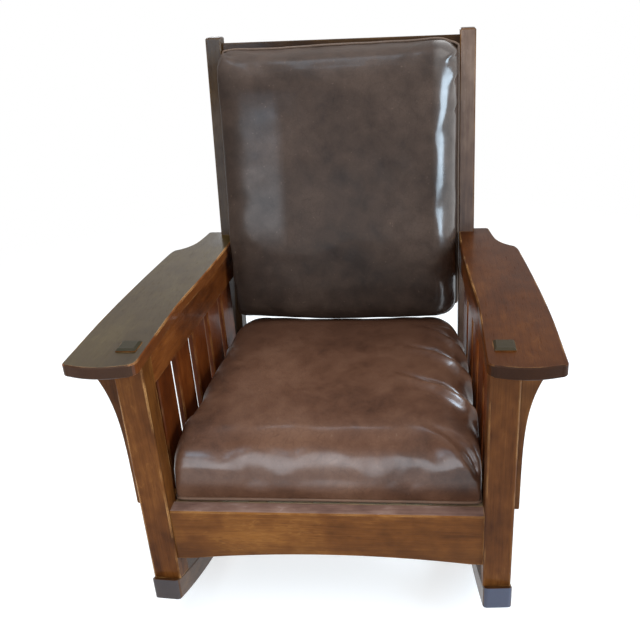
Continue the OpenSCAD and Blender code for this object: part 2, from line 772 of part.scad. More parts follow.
runner_left();
runner_right();
front_post_left();
front_post_right();
rear_post_left();
rear_post_right();
front_seat_rail();
rear_seat_rail();
side_seat_rail_left();
side_seat_rail_right();
upper_side_rail_left();
upper_side_rail_right();
side_slat_left(1);  // side_slat_left_1
side_slat_left(2);  // side_slat_left_2
side_slat_left(3);  // side_slat_left_3
side_slat_left(4);  // side_slat_left_4
side_slat_left(5);  // side_slat_left_5
side_slat_right(1);  // side_slat_right_1
side_slat_right(2);  // side_slat_right_2
side_slat_right(3);  // side_slat_right_3
side_slat_right(4);  // side_slat_right_4
side_slat_right(5);  // side_slat_right_5
arm_left();
arm_right();
corbel_left();
corbel_right();
crest_rail();
back_lower_rail();
back_slat(1);  // back_slat_1
back_slat(2);  // back_slat_2
back_slat(3);  // back_slat_3
back_slat(4);  // back_slat_4
back_slat(5);  // back_slat_5
cleat_front();
cleat_rear();
cleat_left();
cleat_right();
corner_block_front_left();
corner_block_front_right();
corner_block_rear_left();
corner_block_rear_right();
deck_front();
deck_rear();
deck_left();
deck_right();
webbing_lengthwise();
webbing_crosswise();
seat_cushion();
seat_cushion_core();
back_cushion();
back_cushion_core();
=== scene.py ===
import json
import math

import bpy
import numpy as np
from mathutils import Matrix, Vector, noise
from mathutils.bvhtree import BVHTree


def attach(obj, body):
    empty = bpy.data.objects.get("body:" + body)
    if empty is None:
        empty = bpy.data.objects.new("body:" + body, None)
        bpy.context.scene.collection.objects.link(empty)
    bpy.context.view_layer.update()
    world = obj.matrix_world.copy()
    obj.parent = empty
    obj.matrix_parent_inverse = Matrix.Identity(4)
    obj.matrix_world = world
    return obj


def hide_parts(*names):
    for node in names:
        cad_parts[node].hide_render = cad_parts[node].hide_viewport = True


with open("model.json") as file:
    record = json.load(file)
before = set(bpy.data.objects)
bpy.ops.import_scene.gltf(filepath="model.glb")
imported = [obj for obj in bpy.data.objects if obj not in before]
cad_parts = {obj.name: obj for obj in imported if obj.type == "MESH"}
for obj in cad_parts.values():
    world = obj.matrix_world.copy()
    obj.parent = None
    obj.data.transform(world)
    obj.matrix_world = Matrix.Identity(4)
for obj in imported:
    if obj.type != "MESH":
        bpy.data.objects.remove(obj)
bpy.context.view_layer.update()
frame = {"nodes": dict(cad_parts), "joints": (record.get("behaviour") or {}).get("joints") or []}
nodes = frame["nodes"]
joints = {joint["name"]: joint for joint in frame["joints"]}
mm = 0.001

# Camera: the photograph's viewpoint, from the chair's own frame in metres
photoView = {
    "place": (0.18606, -1.39959, 1.16667),
    "yaw": -0.09756,    # radians, to the right of straight on
    "pitch": 0.44022,   # radians below the horizon
    "roll": 0.04655,
    "lens": 42.905,     # millimetres, as the sensor's width
    "sensor": 36,
    "shift": (-0.0623, 0.00305),
}


def makeCamera():
    yaw, pitch, roll = photoView["yaw"], photoView["pitch"], photoView["roll"]
    ahead = Vector((math.sin(yaw) * math.cos(pitch), math.cos(yaw) * math.cos(pitch), -math.sin(pitch)))
    level = Vector((math.cos(yaw), -math.sin(yaw), 0))
    down = ahead.cross(level)
    right = math.cos(roll) * level + math.sin(roll) * down
    up = math.sin(roll) * level - math.cos(roll) * down
    data = bpy.data.cameras.new("photo_camera")
    data.lens = photoView["lens"]
    data.sensor_width = photoView["sensor"]
    data.shift_x, data.shift_y = photoView["shift"]
    camera = bpy.data.objects.new("photo_camera", data)
    turn = Matrix((right, up, -ahead)).transposed().to_4x4()
    camera.matrix_world = Matrix.Translation(photoView["place"]) @ turn
    bpy.context.scene.collection.objects.link(camera)
    bpy.context.scene.camera = camera


makeCamera()
print("camera placed")


# One socket with arithmetic: each sign adds the node that does it
class Value:
    def __init__(self, finish, socket):
        self.finish = finish
        self.socket = socket

    def work(self, operation, other, swapped=False):
        pair = (other, self) if swapped else (self, other)
        wide = any(isinstance(p, tuple) or isinstance(p, Value) and p.socket.type != "VALUE" for p in pair)
        kind = "ShaderNodeVectorMath" if wide else "ShaderNodeMath"
        return self.finish.node(kind, {"operation": operation}, dict(enumerate(pair)))

    def __add__(self, other):
        return self.work("ADD", other)

    def __radd__(self, other):
        return self.work("ADD", other, True)

    def __sub__(self, other):
        return self.work("SUBTRACT", other)

    def __rsub__(self, other):
        return self.work("SUBTRACT", other, True)

    def __mul__(self, other):
        return self.work("MULTIPLY", other)

    def __rmul__(self, other):
        return self.work("MULTIPLY", other, True)


# A material, or the world that holds the nodes instead, and the nodes in it
class Finish:
    def __init__(self, name, holder=None):
        self.material = holder or bpy.data.materials.new(name)
        self.material.use_nodes = True
        self.tree = self.material.node_tree
        self.tree.nodes.clear()

    def node(self, kind, settings, sockets, output=0):
        made = self.tree.nodes.new(kind)
        for key, value in settings.items():
            if key == "stops":
                self.setStops(made.color_ramp, value)
            else:
                setattr(made, key, value)
        for key, value in sockets.items():
            if isinstance(value, Value):
                self.tree.links.new(value.socket, made.inputs[key])
            elif made.inputs[key].type == "RGBA" and len(value) == 3:
                made.inputs[key].default_value = (*value, 1)
            elif made.inputs[key].type == "VECTOR" and not hasattr(value, "__len__"):
                made.inputs[key].default_value = (value, value, value)
            else:
                made.inputs[key].default_value = value
        return Value(self, made.outputs[output]) if len(made.outputs) else made

    def setStops(self, ramp, stops):
        while len(ramp.elements) < len(stops):
            ramp.elements.new(1)
        for element, (place, colour) in zip(ramp.elements, stops):
            element.position = place
            element.color = (*colour, 1)

    def noise(self, place, scale, detail=2, roughness=0.5, distortion=0):
        return self.node("ShaderNodeTexNoise", {}, {
            "Vector": place, "Scale": scale, "Detail": detail,
            "Roughness": roughness, "Distortion": distortion,
        })

    def step(self, value, low, high, start=0, end=1):
        return self.node("ShaderNodeMapRange", {"interpolation_type": "SMOOTHSTEP"}, {
            "Value": value, "From Min": low, "From Max": high, "To Min": start, "To Max": end,
        })

    # A Mix node's inputs 6 and 7 and its output 2 are the ones for colours
    def mix(self, share, first, second):
        return self.node("ShaderNodeMix", {"data_type": "RGBA"}, {0: share, 6: first, 7: second}, 2)

    def ramp(self, value, places, colours):
        return self.node("ShaderNodeValToRGB", {"stops": list(zip(places, colours))}, {"Fac": value})

    # The point in the chair's own frame, in metres
    def spot(self):
        return self.node("ShaderNodeTexCoord", {}, {}, "Object")

    def geometry(self, output):
        return self.node("ShaderNodeNewGeometry", {}, {}, output)

    # How far one vector reaches along another
    def along(self, vector, way):
        return self.node("ShaderNodeVectorMath", {"operation": "DOT_PRODUCT"}, {0: vector, 1: way}, "Value")

    def absolute(self, value):
        return self.node("ShaderNodeMath", {"operation": "ABSOLUTE"}, {0: value})

    def bump(self, height, distance):
        return self.node("ShaderNodeBump", {}, {"Height": height, "Distance": distance})

    def surface(self, sockets):
        shader = self.node("ShaderNodeBsdfPrincipled", {}, sockets)
        self.node("ShaderNodeOutputMaterial", {}, {"Surface": shader})
        return self.material

    # How far a point is worn: 1 along edges, 0 on flats
    def edges(self, radius, low, high):
        rounded = self.node("ShaderNodeBevel", {"samples": 4}, {"Radius": radius})
        return self.step(1 - self.along(rounded, self.geometry("Normal")), low, high)


# Quarter-sawn oak, fumed dark and varnished. Noise is stretched along the grain, which runs along local Z.
oak = {
    "dark": (0.05, 0.0165, 0.0052),
    "brown": (0.13, 0.0475, 0.0135),
    "light": (0.225, 0.093, 0.027),
    "ray": (0.29, 0.135, 0.047),
    "end": (0.03, 0.0145, 0.0082),    # end grain takes the most stain
    "worn": (0.5, 0.25, 0.085),
    "bends": 5,         # this and the next eight are scales, per metre across the grain
    "streaks": 120,
    "fineStreaks": 600,
    "clouds": 9,
    "blots": 38,
    "flames": 75,
    "pores": 1000,
    "rubs": 26,
    "smears": 22,
    "bend": 0.035,      # how far the grain wanders, in metres
    "stainShares": (0.2, 0.12, 0.46, 0.22),    # of streaks, fine streaks, clouds and blots
    "stainPlaces": (0.36, 0.5, 0.64),          # of dark, brown and light
    "rayShare": 0.3,
    "poreLimits": (0.6, 0.72),
    "ribbonLimits": (0.008, 0.03),
    "rayClouds": (0.47, 0.6),
    "rayBlots": (0.4, 0.6),
    "sawnLimits": (0.55, 0.68),     # how squarely a face cuts the grain
    "facingLimits": (0.8, 0.95),
    "wearRadius": 0.0035,
    "wearLimits": (0.008, 0.05),
    "wearPatches": (0.42, 0.62),
    "wearFade": 0.02,
    "relief": 0.0002,
    "roughness": 0.42,
    "gloss": 0.05,
    "coatRoughness": 0.12,
}
plainLook = {"contrast": 1, "pores": 0.3, "end": 0.85, "endColour": oak["end"], "worn": 0.35, "coat": 0.08}


def oakFinish(name, axis, ownLook):
    finish = Finish("oak_" + name)
    look = {**plainLook, **ownLook}
    turn, grain = grainTurns[axis]
    seed = sum(ord(letter) * (place + 3) for place, letter in enumerate(name))
    spot = finish.spot()
    board = finish.node("ShaderNodeMapping", {}, {
        "Vector": spot, "Rotation": turn, "Location": (seed * 0.37 % 5, seed * 0.53 % 5, seed * 0.71 % 5),
    })
    bend = finish.noise(board * (1, 1, 0.35), oak["bends"], 1) - (0.5, 0.5, 0.5)
    grown = board + bend * (oak["bend"], oak["bend"], 0.0)
    streak = finish.noise(grown * (1, 1, 0.03), oak["streaks"], 4, 0.6)
    fine = finish.noise(grown * (1, 1, 0.02), oak["fineStreaks"], 2, 0.6)
    cloud = finish.noise(board * (1, 1, 0.45), oak["clouds"], 3, 0.55)
    blot = finish.noise(board * (1, 1, 0.7), oak["blots"], 2, 0.5)
    pore = finish.step(finish.noise(grown * (1, 1, 0.04), oak["pores"], 1), *oak["poreLimits"])
    flame = finish.noise(board * (1, 1, 0.22) + bend * 0.06, oak["flames"], 2, 0.5, 0.9)
    ribbon = 1 - finish.step(finish.absolute(flame - 0.5), *oak["ribbonLimits"])
    ray = ribbon * finish.step(cloud, *oak["rayClouds"]) * finish.step(blot, *oak["rayBlots"])
    ofStreak, ofFine, ofCloud, ofBlot = oak["stainShares"]
    stain = streak * ofStreak + fine * ofFine + cloud * ofCloud + blot * ofBlot
    stain = (stain - 0.5) * look["contrast"] + 0.5
    colour = finish.ramp(stain, oak["stainPlaces"], (oak["dark"], oak["brown"], oak["light"]))
    colour = finish.mix(ray * oak["rayShare"], colour, oak["ray"])
    plain = finish.mix(pore * look["pores"], colour, oak["dark"])
    normal = finish.geometry("Normal")
    sawn = finish.step(finish.absolute(finish.along(normal, grain)), *oak["sawnLimits"])
    colour = plain * look["tone"]
    coat = (1 - pore * 0.5 - sawn * 0.5) * look["coat"]
    # Up-facing faces take the top tone: a painted sheen, greener on the left arm and paler and bluer on the
    # front rail's ledge
    if "top" in look:
        level = finish.step(finish.along(normal, (0, 0, 1)), *oak["facingLimits"])
        colour = finish.mix(level, colour, plain * look["top"])
    # Front-facing faces take the front tone: a painted lilac sheen on the right rear post; the front coat
    # adds real gloss
    if "front" in look:
        ahead = finish.step(finish.along(normal, (0, -1, 0)), *oak["facingLimits"])
        colour = finish.mix(ahead, colour, plain * look["front"])
        coat = coat + ahead * look["frontCoat"]
    height = finish.along(spot, (0, 0, 1))
    if "foot" in look:      # darker towards the floor
        shade = finish.step(height + (cloud - 0.5) * 0.06, *look["foot"], 0.45, 0)
        colour = finish.mix(shade, colour, oak["dark"])
    colour = finish.mix(sawn * look["end"], colour, look["endColour"])
    rubbed = finish.step(finish.noise(board * (1, 1, 0.5), oak["rubs"], 3), *oak["wearPatches"])
    worn = finish.edges(oak["wearRadius"], *oak["wearLimits"]) * rubbed
    if "wornBelow" in look:
        worn = worn * finish.step(height, look["wornBelow"] - oak["wearFade"], look["wornBelow"], 1, 0)
    colour = finish.mix(worn * (1 - sawn) * look["worn"], colour, oak["worn"])
    smear = finish.noise(board * (1, 1, 0.5), oak["smears"], 3)
    return finish.surface({
        "Base Color": colour,
        "Roughness": pore * 0.15 + smear * 0.16 + (oak["roughness"] - 0.08),
        "Specular IOR Level": oak["gloss"],
        "Coat Weight": coat,
        "Coat Roughness": oak["coatRoughness"],
        "Normal": finish.bump(pore * -0.7 + fine * 0.3, oak["relief"]),
    })


# Turns that lay a piece's grain along local Z, and the way it runs in the chair
quarter = math.pi / 2
leanUp = Vector(joints["back_cushion_lift_out"]["axis"]).normalized()
grainTurns = {
    "x": ((0, -quarter, 0), (1, 0, 0)),
    "y": ((quarter, 0, 0), (0, 1, 0)),
    "z": ((0, 0, 0), (0, 0, 1)),
    "lean": ((math.atan2(leanUp.y, leanUp.z), 0, 0), tuple(leanUp)),
}
# Each name's start, the way of its grain, and its look. Tone, top and front scale the colour; the tone
# differences between like pieces, and the top and front tones, paint light and shade, as noted.
woodPieces = {
    # The rail's top tone paints its ledge paler and bluer: a painted sheen
    "front_seat_rail": ("x", {"tone": (0.9, 0.79, 0.54), "top": (1.05, 1.5, 3.8), "pores": 0.4,
                              "foot": (0.165, 0.225)}),
    "rear_seat_rail": ("x", {"tone": (0.7, 0.7, 0.7)}),
    # The crest's dark grey tone is painted shade and sheen
    "crest_rail": ("x", {"tone": (0.17, 0.18, 0.18), "worn": 0.1}),
    "back_lower_rail": ("x", {"tone": (0.6, 0.6, 0.6)}),
    # The runners' noses are dark end grain with a painted grey-blue reflection in their end colours, bluer on
    # the right runner
    "runner_left": ("y", {"tone": (0.5, 0.5, 0.5), "coat": 0.4, "worn": 0.05,
                          "endColour": (0.048, 0.041, 0.042)}),
    "runner_right": ("y", {"tone": (0.5, 0.5, 0.5), "coat": 0.4, "worn": 0.05,
                           "endColour": (0.062, 0.07, 0.1)}),
    "side_seat_rail": ("y", {"tone": (0.75, 0.7, 0.65)}),
    "upper_side_rail": ("y", {"tone": (0.9, 0.62, 0.45)}),
    # The left arm's top tone paints its up-facing faces grey-green: a painted sheen; its side tone is the
    # wood's
    "arm_left": ("y", {"tone": (0.85, 0.6, 0.45), "top": (0.27, 0.4, 0.35), "coat": 0.34, "worn": 0.7,
                       "pores": 0.1, "contrast": 0.5, "endColour": (0.026, 0.0125, 0.0065)}),
    # The right arm's tone, darker than the left arm's sides, is painted shade
    "arm_right": ("y", {"tone": (0.39, 0.27, 0.14), "worn": 0.6, "pores": 0.1, "contrast": 0.7,
                        "endColour": (0.023, 0.0095, 0.005)}),
    "front_post_left": ("z", {"tone": (0.79, 0.66, 0.46), "worn": 0.9, "wornBelow": 0.6, "end": 0.95,
                              "endColour": (0.026, 0.023, 0.014)}),
    # The right front post's tone, darker than the left post's, is painted shade
    "front_post_right": ("z", {"tone": (0.65, 0.55, 0.44), "worn": 0.45, "wornBelow": 0.6, "end": 0.95,
                               "endColour": (0.03, 0.023, 0.013)}),
    "side_slat": ("z", {"tone": (0.75, 0.42, 0.26)}),
    "corbel": ("z", {"tone": (0.75, 0.7, 0.65)}),
    # The rear posts' grey tones, darker on the left, are painted shade and sheen
    "rear_post_left": ("lean", {"tone": (0.2, 0.24, 0.28), "coat": 0.12, "worn": 0.1}),
    # The right rear post's front tone paints its front face lilac-grey: a painted sheen
    "rear_post_right": ("lean", {"tone": (0.5, 0.5, 0.55), "coat": 0.15, "worn": 0.15,
                                 "front": (0.6, 0.87, 2.0), "frontCoat": 0.75}),
    "back_slat": ("lean", {"tone": (0.6, 0.6, 0.6)}),
}


def setFinish(piece, material):
    piece.data.materials.clear()
    piece.data.materials.append(material)


def finishOak():
    for name, piece in nodes.items():
        kind = next((kind for kind in woodPieces if name.startswith(kind)), None)
        if kind:
            setFinish(piece, oakFinish(name, *woodPieces[kind]))


# Bare softwood under the seat
softwood = {
    "pale": (0.46, 0.31, 0.17),
    "ring": (0.3, 0.17, 0.08),
    "bends": 6,         # this and the next three are scales, per metre
    "rings": 190,
    "fibres": 900,
    "stains": 9,
    "bend": 0.05,
    "ringLimits": (0.42, 0.6),
    "stainLimits": (0.45, 0.7),
    "relief": 0.0003,
    "roughness": 0.75,
}


def softwoodFinish(name, turn):
    finish = Finish("softwood_" + name)
    spot = finish.spot()
    board = finish.node("ShaderNodeMapping", {}, {"Vector": spot, "Rotation": turn})
    bend = finish.noise(board * (1, 1, 0.2), softwood["bends"], 1) - (0.5, 0.5, 0.5)
    grown = board + bend * (softwood["bend"], softwood["bend"], 0.0)
    ring = finish.noise(grown * (1, 1, 0.015), softwood["rings"], 2, 0.5)
    fibre = finish.noise(board * (1, 1, 0.03), softwood["fibres"], 2)
    stain = finish.noise(board, softwood["stains"], 3)
    colour = finish.mix(finish.step(ring, *softwood["ringLimits"]), softwood["pale"], softwood["ring"])
    colour = finish.mix(finish.step(stain, *softwood["stainLimits"]) * 0.5, colour, softwood["ring"])
    return finish.surface({
        "Base Color": colour,
        "Roughness": fibre * 0.2 + (softwood["roughness"] - 0.1),
        "Normal": finish.bump(fibre + ring * 0.5, softwood["relief"]),
    })


# Jute webbing: a plain weave of uneven threads
webbing = {
    "jute": (0.42, 0.32, 0.19),
    "shade": (0.16, 0.11, 0.06),
    "threads": 520,     # per metre
    "slubs": 400,
    "weaveLimits": (-0.8, 0.8),
    "relief": 0.0006,
    "roughness": 0.9,
}


def webbingFinish():
    finish = Finish("jute_webbing")
    spot = finish.spot()
    rate = webbing["threads"] * math.pi
    waves = []
    for index in (0, 1):
        phase = finish.node("ShaderNodeSeparateXYZ", {}, {"Vector": spot}, index) * rate
        waves.append(finish.node("ShaderNodeMath", {"operation": "SINE"}, {0: phase}))
    weave = finish.step(waves[0] * waves[1], *webbing["weaveLimits"])
    slub = finish.noise(spot, webbing["slubs"], 3)
    return finish.surface({
        "Base Color": finish.mix(weave * 0.6 + slub * 0.3, webbing["shade"], webbing["jute"]),
        "Roughness": webbing["roughness"] - slub * 0.1,
        "Normal": finish.bump(weave + slub * 0.4, webbing["relief"]),
    })


finishOak()
for name, piece in nodes.items():
    if name.startswith(("deck_front", "deck_rear", "cleat_front", "cleat_rear")):
        setFinish(piece, softwoodFinish(name, grainTurns["x"][0]))
    elif name.startswith(("deck", "cleat")):
        setFinish(piece, softwoodFinish(name, grainTurns["y"][0]))
    elif name.startswith("corner_block"):
        setFinish(piece, softwoodFinish(name, grainTurns["z"][0]))
jute = webbingFinish()
for name in ("webbing_lengthwise", "webbing_crosswise"):
    setFinish(nodes[name], jute)
print("wood and webbing finished")


# Dark brown glazed leather: cloudy, finely grained, scuffed, rubbed paler on raised folds and piping, with
# painted shade in its hollows and, on the seat, towards the back
leather = {
    "seat": ((0.043, 0.0175, 0.0095), (0.082, 0.0345, 0.0185), (0.119, 0.055, 0.031)),
    # The back's shades, far darker than the seat's for the same leather, are painted shade
    "back": ((0.019, 0.0115, 0.0085), (0.035, 0.021, 0.0148), (0.056, 0.034, 0.024)),
    "rubbed": (0.2, 0.125, 0.085),
    "clouds": 5,        # this and the next seven are scales, per metre
    "mottles": 30,
    "cracks": 70,
    "nicks": 150,
    "specks": 260,
    "warps": 300,
    "scratches": 420,
    "pebbles": 900,
    "pebbleWarp": 0.0012,
    "crackWarp": 0.02,
    "stainShares": (0.6, 0.3, 0.1),     # of clouds, mottles and specks
    "stainPlaces": (0.38, 0.5, 0.64),   # of the three shades
    "pebbleLimits": (0, 0.22),
    "crackLimits": (0, 0.04),
    "crackClouds": (0.48, 0.62),
    "scratchLimits": (0.74, 0.78),
    "scratchMottles": (0.5, 0.6),
    "nickLimits": (0.71, 0.75),
    "shineLimits": (0.6, 1.0),
    "raisedLimits": (0.515, 0.57),      # of Pointiness, as the next
    "sunkLimits": (0.43, 0.49),
    # the seat's painted rear shade grows over these limits
    "paintedRearShadeLimits": (-0.08, 0.18),        # metres behind the chair's middle
    "relief": 0.0002,
    "roughness": 0.44,
    "gloss": 0.07,
    "coatRoughness": 0.22,
}


def leatherCells(finish, place, scale):
    measure = {"feature": "DISTANCE_TO_EDGE"}
    return finish.node("ShaderNodeTexVoronoi", measure, {"Vector": place, "Scale": scale})


def leatherFinish(name, shades, rub, coat, polish=(), deep=0):
    finish = Finish("leather_" + name)
    spot = finish.spot()
    cloud = finish.noise(spot, leather["clouds"], 3, 0.55)
    mottle = finish.noise(spot, leather["mottles"], 4, 0.6, 0.4)
    speck = finish.noise(spot, leather["specks"], 3, 0.6)
    warp = (finish.noise(spot, leather["warps"], 1) - (0.5, 0.5, 0.5)) * leather["pebbleWarp"]
    pebble = finish.step(leatherCells(finish, spot + warp, leather["pebbles"]), *leather["pebbleLimits"])
    warp = (mottle - 0.5) * ((leather["crackWarp"],) * 3)
    crack = 1 - finish.step(leatherCells(finish, spot + warp, leather["cracks"]), *leather["crackLimits"])
    crease = crack * finish.step(cloud, *leather["crackClouds"])
    point = finish.geometry("Pointiness")
    raised = finish.step(point, *leather["raisedLimits"])
    sunk = 1 - finish.step(point, *leather["sunkLimits"])
    ofCloud, ofMottle, ofSpeck = leather["stainShares"]
    stain = cloud * ofCloud + mottle * ofMottle + speck * ofSpeck
    colour = finish.ramp(stain, leather["stainPlaces"], shades)
    scratch = finish.noise(spot * (1, 0.12, 0.3), leather["scratches"], 1, 0.5, 0.3)
    scratch = finish.step(scratch, *leather["scratchLimits"])
    scratch = scratch * finish.step(mottle, *leather["scratchMottles"])
    nick = finish.step(finish.noise(spot, leather["nicks"], 2, 0.5), *leather["nickLimits"])
    colour = finish.mix(raised * rub + nick * 0.15 + scratch * 0.35, colour, leather["rubbed"])
    # Hollows, where Pointiness is low, take the darkest shade: painted shade; cracks in the glaze are
    # darkened too
    colour = finish.mix(sunk * 0.7 + crease * 0.3, colour, shades[0])
    if deep:     # painted shade: darker towards the back of the seat, where the back pad shades it
        rearShade = finish.step(finish.along(spot, (0, 1, 0)), *leather["paintedRearShadeLimits"])
        colour = finish.mix(rearShade * deep, colour, shades[0])
    shine = finish.step(cloud + mottle * 0.6, *leather["shineLimits"], coat * 1.2, coat * 0.8)
    for gain, limits in polish:     # handled and stretched places are polished
        patch = (mottle * 0.8 + 0.6) * gain
        for way, start, end in limits:
            patch = patch * finish.step(finish.along(spot, way), start, end)
        shine = shine + patch
    return finish.surface({
        "Base Color": colour,
        "Roughness": mottle * 0.2 + sunk * 0.15 + (leather["roughness"] - 0.1),
        "Specular IOR Level": leather["gloss"],
        "Coat Weight": shine,
        "Coat Roughness": leather["coatRoughness"],
        "Normal": finish.bump(pebble * 0.4 + speck * 0.3 - crease * 0.7 - scratch * 0.4, leather["relief"]),
    })


def meshFrom(name, points, faces):
    mesh = bpy.data.meshes.new(name)
    mesh.from_pydata([tuple(p) for p in points], [], faces)
    mesh.update()
    piece = bpy.data.objects.new(name, mesh)
    bpy.context.scene.collection.objects.link(piece)
    return piece


def valuesOf(piece, kind):
    found = np.empty(len(piece.data.vertices) * 3, np.float32)
    piece.data.vertices.foreach_get(kind, found)
    return found.reshape(-1, 3).astype(float)


def pointsOf(piece):
    return valuesOf(piece, "co")


def normalsOf(piece):
    return valuesOf(piece, "normal")


def setPoints(piece, points):
    piece.data.vertices.foreach_set("co", points.astype(np.float32).ravel())
    piece.data.update()


def smooth(value, low, high):
    share = np.clip((np.asarray(value, float) - low) / (high - low), 0, 1)
    return share * share * (3 - 2 * share)


seedStep = (3.7, 1.3, 2.9)      # how far apart the noise of two seeds is read


def noiseAt(points, scale, seed):
    away = Vector([seed * step for step in seedStep])
    return np.array([noise.noise(Vector(p) * scale + away) for p in points])


def lengthsAlong(line):
    return np.concatenate([[0], np.cumsum(np.linalg.norm(np.diff(line, axis=0), axis=1))])


# The same closed line in evenly spaced points
def evenLoop(points, count):
    closed = np.vstack([points, points[:1]])
    lengths = lengthsAlong(closed)
    spots = np.linspace(0, lengths[-1], count, endpoint=False)
    return np.column_stack([np.interp(spots, lengths, column) for column in closed.T])


# Pads are made lying down, underside at zero: first axis across, second away from the foot,
# third up through the pad. Corners are in order: foot left, foot right, head right, head left.
# Sides are left, right, foot, head.
padRings = {
    "points": 160,
    "cornerSteps": 8,
    "underSteps": 4,
    "overSteps": 14,
    "under": (0.18, 0.1, 0.04),     # insets of the rings on the underside
    "over": (0.01, 0.02, 0.035, 0.05, 0.085, 0.12, 0.15),   # and on the top, past the rounding
    "headDrop": (0.7, 0.95),        # shares of the length in which the head's corners sink
    "headReach": 0.09,
    "footReach": 0.07,
    "bowReach": 0.17,
    "skewReach": 0.25,
}


def outline(pad, inset):
    left, right, foot, head = (inset * share for share in pad["sides"])
    points = []
    signs = ((-1, -1), (1, -1), (1, 1), (-1, 1))
    for index, ((sx, sy), radius) in enumerate(zip(signs, pad["corners"])):
        half = (pad["width"] if sy < 0 else pad["headWidth"]) / 2
        x = sx * (half - (left if sx < 0 else right))
        y = sy * (pad["length"] / 2 - (foot if sy < 0 else head))
        radius = max(radius, inset * 0.5)
        start = (index + 2) * quarter
        for k in range(padRings["cornerSteps"] + 1):
            angle = start + quarter * k / padRings["cornerSteps"]
            points.append((x - sx * radius + radius * math.cos(angle),
                           y - sy * radius + radius * math.sin(angle)))
    ring = evenLoop(np.array(points), padRings["points"])
    u = ring[:, 0] / (pad["width"] / 2)
    v = ring[:, 1] / (pad["length"] / 2)
    ring[:, 0] *= 1 - pad["drawn"] * np.clip(1 - v * v, 0, 1)
    ring[:, 1] *= 1 - pad["drawn"] * np.clip(1 - u * u, 0, 1)
    return ring


def padTop(pad, points):
    u = points[:, 0] / (pad["width"] / 2)
    share = points[:, 1] / pad["length"] + 0.5
    height = np.interp(share, *zip(*pad["rise"]))
    height = height - pad["headDrop"] * smooth(share, *padRings["headDrop"]) * np.abs(u) ** 6
    return height + pad["crown"] * np.clip(1 - u * u, 0, 1) ** 0.8


# Rings from the middle of the underside, up the sides and in over the top. Each has its inset and its
# share of the height there.
def padForm(name, pad):
    under, over, count = pad["underRound"], pad["overRound"], padRings["points"]
    steps = [(inset, 0) for inset in (*padRings["under"], under)]
    steps += [(under * (1 - math.sin(a)), under * (1 - math.cos(a)) / pad["thick"])
              for a in np.linspace(0, quarter, padRings["underSteps"])[1:]]
    steps += [(over * (1 - math.cos(a)), 1 - pad["overShare"] * (1 - math.sin(a)) ** pad["ease"])
              for a in np.linspace(0, quarter, padRings["overSteps"])]
    steps += [(over + reach, 1) for reach in padRings["over"]]
    half = pad["length"] / 2
    points, faces = [], []
    for inset, share in steps:
        ring = outline(pad, inset)
        top = padTop(pad, ring)
        ring[:, 1] -= pad["headSlope"] * share * smooth(ring[:, 1], half - padRings["headReach"], half)
        foot = smooth(-ring[:, 1], half - padRings["footReach"], half)
        bow = np.clip(1 - (ring[:, 0] / padRings["bowReach"]) ** 2, -1.4, 1)
        ring[:, 1] -= (pad["footSlope"] + pad["sag"] * bow) * share * foot
        ring[:, 1] += pad["skew"] * ring[:, 0] / padRings["skewReach"] * smooth(ring[:, 1], 0, half)
        points += [(x, y, z * share) for (x, y), z in zip(ring, top)]
    for level in range(len(steps) - 1):
        for k in range(count):
            a, b = level * count + k, level * count + (k + 1) % count
            faces.append((a, b, b + count, a + count))
    last = (len(steps) - 1) * count
    ends = len(points)
    points += [(0, 0, 0), (0, 0, float(padTop(pad, np.zeros((1, 2)))[0]))]
    for k in range(count):
        faces.append(((k + 1) % count, k, ends))
        faces.append((last + k, last + (k + 1) % count, ends + 1))
    return meshFrom(name, points, faces)


def applyModifiers(piece):
    shown = piece.evaluated_get(bpy.context.evaluated_depsgraph_get())
    mesh = bpy.data.meshes.new_from_object(shown)
    piece.modifiers.clear()
    old = piece.data
    piece.data = mesh
    bpy.data.meshes.remove(old)


# The leather cover as cloth, and how it is made even before and after
stuffing = {
    "voxel": 0.0055,
    "relax": 7,
    "quality": 6,
    "mass": 0.25,
    "stiffness": 12,
    "shear": 7.2,
    "bending": 4,
    "pressure": 3.5,
    "frames": 20,
    "cap": 0.008,       # no place swells further
    "calm": 25,         # rounds of averaging that take the puckers out
}


def remesh(piece, size):
    change = piece.modifiers.new("remesh", "REMESH")
    change.mode = "VOXEL"
    change.voxel_size = size
    applyModifiers(piece)
    relax = piece.modifiers.new("relax", "SMOOTH")
    relax.iterations = stuffing["relax"]
    applyModifiers(piece)


# The same field, averaged with its neighbours a number of times
def spread(piece, field, times):
    ends = np.empty(len(piece.data.edges) * 2, np.int64)
    piece.data.edges.foreach_get("vertices", ends)
    first, second = ends.reshape(-1, 2).T
    count = np.bincount(ends, minlength=len(field))[:, None] + 1.0
    for _ in range(times):
        total = field.copy()
        for k in range(field.shape[1]):
            total[:, k] += np.bincount(first, field[second, k], len(field))
            total[:, k] += np.bincount(second, field[first, k], len(field))
        field = total / count
    return field


hold = {
    "give": 0.006,              # the last stretch before a limit, where the leather flattens
    "low": (0.012, 0.05),       # heights over which the rim's push fades
    "rim": (0.03, 0.006),       # where it starts and is full, from the foot
}


# Flattens what reaches past a limit on one side of an axis
def press(points, axis, side, limit):
    over = side * points[:, axis] - (limit - hold["give"])
    flat = over - hold["give"] * np.tanh(over / hold["give"])
    points[:, axis] -= side * np.where(over > 0, flat, 0)


# Keeps a swollen pad inside its frame: it flattens against what stands beside it
def holdBack(piece, pad):
    points = pointsOf(piece)
    share = points[:, 1] / pad["length"] + 0.5
    half = pad["length"] / 2
    press(points, 0, -1, np.interp(share, (0, 1), pad["leftRoom"]))
    press(points, 0, 1, np.interp(share, (0, 1), pad["rightRoom"]))
    press(points, 1, -1, half + (pad["footSlope"] + pad["sag"]))
    press(points, 1, 1, half)
    points[:, 2] = np.maximum(points[:, 2], 0)
    low = 1 - smooth(points[:, 2], *hold["low"])
    rim = smooth(-points[:, 1], half - hold["rim"][0], half - hold["rim"][1])
    points[:, 1] -= pad["rimPush"] * low * rim
    points[:, 1] = np.maximum(points[:, 1], -half - pad["footSlope"] - pad["sag"])
    setPoints(piece, points)


